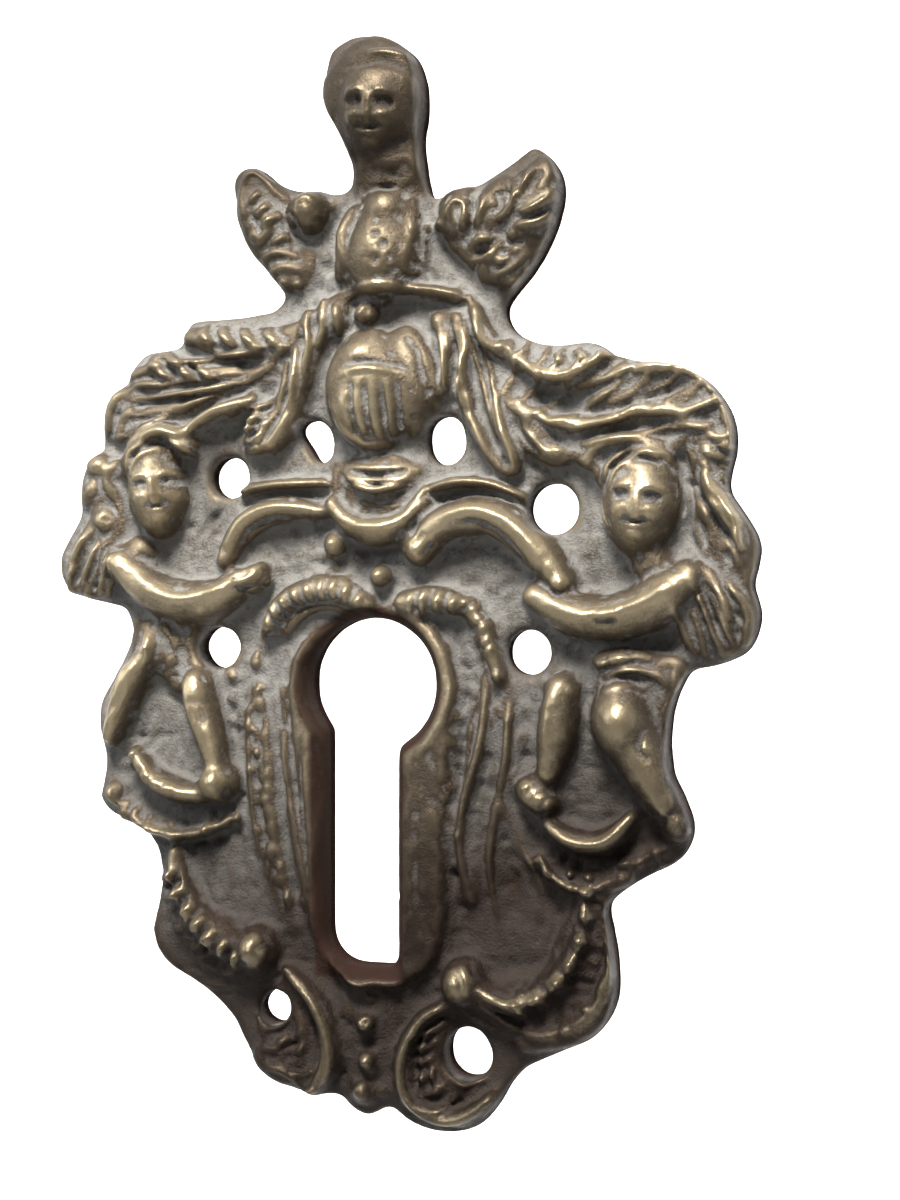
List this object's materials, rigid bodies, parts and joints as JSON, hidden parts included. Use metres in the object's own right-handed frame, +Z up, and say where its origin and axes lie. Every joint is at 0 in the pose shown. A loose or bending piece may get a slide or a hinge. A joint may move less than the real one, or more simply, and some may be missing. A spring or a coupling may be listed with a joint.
{
  "type": "keyhole escutcheon",
  "caption": "Cast brass rococo keyhole escutcheon: winged bust crest over a barred helmet with leafy mantling, two cherub supporters, raised keyhole lip, ribbed scrolls and nail holes",
  "frame": {"origin": "middle of the keyhole's round bow, on the plate's flat back", "axes": "+Z up towards the crest, the ornamented face looks along -Y, the flat back faces +Y, +X to the right as seen from the front"},
  "size_m": [0.0743, 0.009, 0.1106],
  "materials": {
    "aged_brass": "cast brass, rubbed bright on the high forms, grey-brown patina and dirt in the hollows"
  },
  "bodies": {
    "root": {"escutcheon": "aged_brass"}
  },
  "joints": []
}
